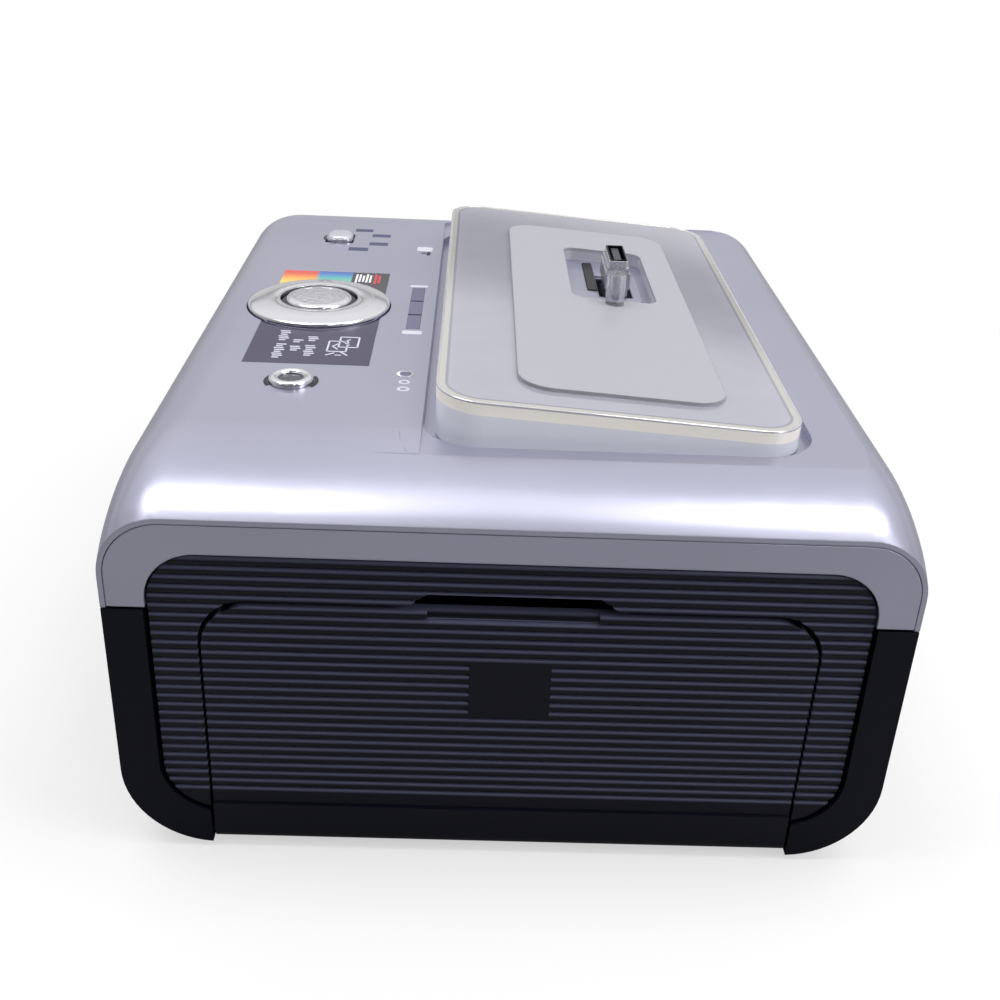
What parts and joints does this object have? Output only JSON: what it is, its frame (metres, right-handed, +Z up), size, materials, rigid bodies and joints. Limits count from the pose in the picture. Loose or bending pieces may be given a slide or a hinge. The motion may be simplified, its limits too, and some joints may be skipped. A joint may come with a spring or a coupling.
{
  "type": "compact photo printer",
  "caption": "Compact dye thermal photo printer with a ribbed paper door, a side ribbon door, a round control ring and a clear camera dock on its top.",
  "frame": {"origin": "on the table under the middle of the body", "axes": "+X to the right across the paper door, +Y from the paper door to the rear paper slot, +Z up"},
  "size_m": [0.1512, 0.19, 0.0962],
  "materials": {
    "silver_abs": "metallic silver moulded plastic",
    "black_abs": "fine textured black plastic",
    "clear_acrylic": "clear acrylic, matt underside",
    "bright_chrome": "chrome plated plastic",
    "plug_steel": "bright folded sheet",
    "steel": "plain bright steel",
    "aluminium": "extruded aluminium",
    "rubber": "black rubber",
    "grey_plastic": "grey plastic",
    "white_nylon": "natural nylon",
    "board": "green circuit board",
    "label_dark": "dark printed film",
    "label_colour": "printed film in rainbow colours",
    "smoke_window": "smoked window",
    "ink_film": "wound ink film"
  },
  "bodies": {
    "case": {"top_shell": "silver_abs", "front_bezel": "silver_abs", "base_shell": "black_abs", "front_panel": "black_abs", "paper_bay": "black_abs", "camera_insert": "clear_acrylic", "rubber_feet": "rubber", "case_screws": "steel", "control_label": "label_dark", "colour_strip": "label_colour", "status_window": "smoke_window", "lamp_lenses": "smoke_window", "rocker_bracket": "grey_plastic", "panel_board": "board", "switches": "grey_plastic", "port_board": "board", "main_board": "board", "power_inlet": "black_abs", "usb_socket": "plug_steel", "host_socket": "plug_steel", "works_frame": "steel", "idler_stud": "steel", "drive_motor": "steel", "ribbon_cartridge": "grey_plastic"},
    "paper_door_body": {"paper_door": "black_abs"},
    "cartridge_door_body": {"cartridge_door": "black_abs"},
    "ring": {"nav_ring": "bright_chrome"},
    "ok_key": {"ok_button": "bright_chrome"},
    "power_key": {"power_button": "bright_chrome", "power_lens": "smoke_window"},
    "size_key": {"size_button": "bright_chrome"},
    "connector": {"connector_carriage": "grey_plastic", "connector_shroud": "plug_steel", "connector_plug": "black_abs", "connector_tongue": "grey_plastic"},
    "pickup": {"pickup_roller": "rubber", "pickup_shaft": "steel"},
    "platen": {"platen_roller": "rubber", "platen_gear": "white_nylon"},
    "capstan": {"capstan_roller": "steel", "capstan_gear": "white_nylon"},
    "pinch": {"pinch_roller": "steel"},
    "idler": {"idler_gear": "white_nylon"},
    "takeup": {"takeup_spool": "ink_film", "takeup_gear": "white_nylon", "takeup_gear_shaft": "steel"},
    "supply": {"supply_spool": "ink_film"},
    "motor_rotor": {"motor_pinion": "white_nylon", "motor_shaft": "steel"},
    "head": {"print_head": "aluminium", "heat_sink": "aluminium", "head_frame": "steel"}
  },
  "joints": [
    {"name": "paper_door_hinge", "type": "hinge", "parent": "case", "child": "paper_door_body", "pos_m": [0, -0.0928, 0.004], "axis": [1, 0, 0], "range_deg": [0, 90]},
    {"name": "cartridge_door_hinge", "type": "hinge", "parent": "case", "child": "cartridge_door_body", "pos_m": [-0.0734, 0.005, 0.0301], "axis": [0, -1, 0], "range_deg": [0, 90]},
    {"name": "ring_press", "type": "slide", "parent": "case", "child": "ring", "axis": [0, 0, -1], "range_m": [0, 0.0006], "stiffness_N_per_m": 400, "springref_m": -0.0005},
    {"name": "ok_press", "type": "slide", "parent": "case", "child": "ok_key", "axis": [0, 0, -1], "range_m": [0, 0.0006], "stiffness_N_per_m": 400, "springref_m": -0.0005},
    {"name": "power_press", "type": "slide", "parent": "case", "child": "power_key", "axis": [0, 0, -1], "range_m": [0, 0.0006], "stiffness_N_per_m": 400, "springref_m": -0.0005},
    {"name": "size_press", "type": "slide", "parent": "case", "child": "size_key", "axis": [0, 0, -1], "range_m": [0, 0.0006], "stiffness_N_per_m": 400, "springref_m": -0.0005},
    {"name": "connector_rock", "type": "hinge", "parent": "case", "child": "connector", "pos_m": [0.0262, 0.0165, 0.0768], "axis": [0, 1, 0], "range_deg": [-6, 6], "stiffness_Nm_per_rad": 0.05},
    {"name": "pickup_spin", "type": "hinge", "parent": "case", "child": "pickup", "pos_m": [0, -0.046, 0.0516], "axis": [1, 0, 0], "continuous": true},
    {"name": "platen_spin", "type": "hinge", "parent": "case", "child": "platen", "pos_m": [0, 0.004, 0.0215], "axis": [1, 0, 0], "continuous": true},
    {"name": "capstan_spin", "type": "hinge", "parent": "case", "child": "capstan", "pos_m": [0, 0.046, 0.026], "axis": [1, 0, 0], "continuous": true},
    {"name": "pinch_spin", "type": "hinge", "parent": "case", "child": "pinch", "pos_m": [0, 0.046, 0.0334], "axis": [1, 0, 0], "continuous": true},
    {"name": "idler_spin", "type": "hinge", "parent": "case", "child": "idler", "pos_m": [0, 0.02593, 0.0198], "axis": [1, 0, 0], "continuous": true},
    {"name": "takeup_spin", "type": "hinge", "parent": "case", "child": "takeup", "pos_m": [0, 0.026, 0.0418], "axis": [1, 0, 0], "continuous": true},
    {"name": "supply_spin", "type": "hinge", "parent": "case", "child": "supply", "pos_m": [0, -0.016, 0.0418], "axis": [1, 0, 0], "continuous": true},
    {"name": "motor_spin", "type": "hinge", "parent": "case", "child": "motor_rotor", "pos_m": [0, 0.058, 0.017], "axis": [1, 0, 0], "continuous": true},
    {"name": "head_lift", "type": "hinge", "parent": "case", "child": "head", "pos_m": [0, 0.046, 0.0543], "axis": [-1, 0, 0], "range_deg": [0, 5]}
  ],
  "couplings": [
    {"joint": "idler_spin", "follows": "platen_spin", "ratio": -0.83333},
    {"joint": "capstan_spin", "follows": "platen_spin", "ratio": 1.1111},
    {"joint": "pinch_spin", "follows": "platen_spin", "ratio": -1.4815},
    {"joint": "takeup_spin", "follows": "platen_spin", "ratio": 1},
    {"joint": "supply_spin", "follows": "platen_spin", "ratio": 0.7027},
    {"joint": "motor_spin", "follows": "platen_spin", "ratio": -1.6667}
  ]
}
